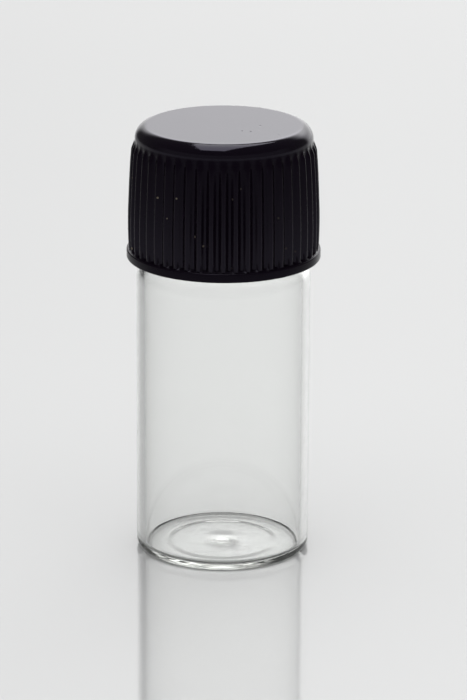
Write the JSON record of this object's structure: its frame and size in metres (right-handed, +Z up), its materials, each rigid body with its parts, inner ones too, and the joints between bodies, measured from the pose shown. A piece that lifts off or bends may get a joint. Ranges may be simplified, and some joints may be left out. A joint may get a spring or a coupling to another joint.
{
  "type": "sample vial",
  "caption": "Small clear glass vial with a rounded shoulder and threaded neck, closed by a black ribbed screw cap with a loose sealing liner.",
  "frame": {"origin": "on the vial's axis, at the plane of the ring that it stands on", "axes": "+Z up along the vial's axis, from the base to the cap's top; +X and +Y are free, because the object is round"},
  "size_m": [0.0166, 0.0166, 0.0378],
  "materials": {
    "clear_glass": "clear, polished",
    "black_plastic": "glossy top, satin ribs",
    "white_foam": "matte, fine closed cells",
    "white_film": "smooth, slightly glossy"
  },
  "bodies": {
    "vial": {"glass_vial": "clear_glass"},
    "liner": {"liner_backing": "white_foam", "liner_facing": "white_film"},
    "cap": {"screw_cap": "black_plastic"}
  },
  "joints": [
    {"name": "cap_lift", "type": "slide", "parent": "vial", "child": "liner", "axis": [0, 0, 1], "range_m": [0, 0.01482]},
    {"name": "cap_turn", "type": "hinge", "parent": "liner", "child": "cap", "pos_m": [0, 0, 0], "axis": [0, 0, 1], "range_deg": [0, 2520]}
  ],
  "couplings": [
    {"joint": "cap_turn", "follows": "cap_lift", "rad_per_m": 2968.4}
  ]
}
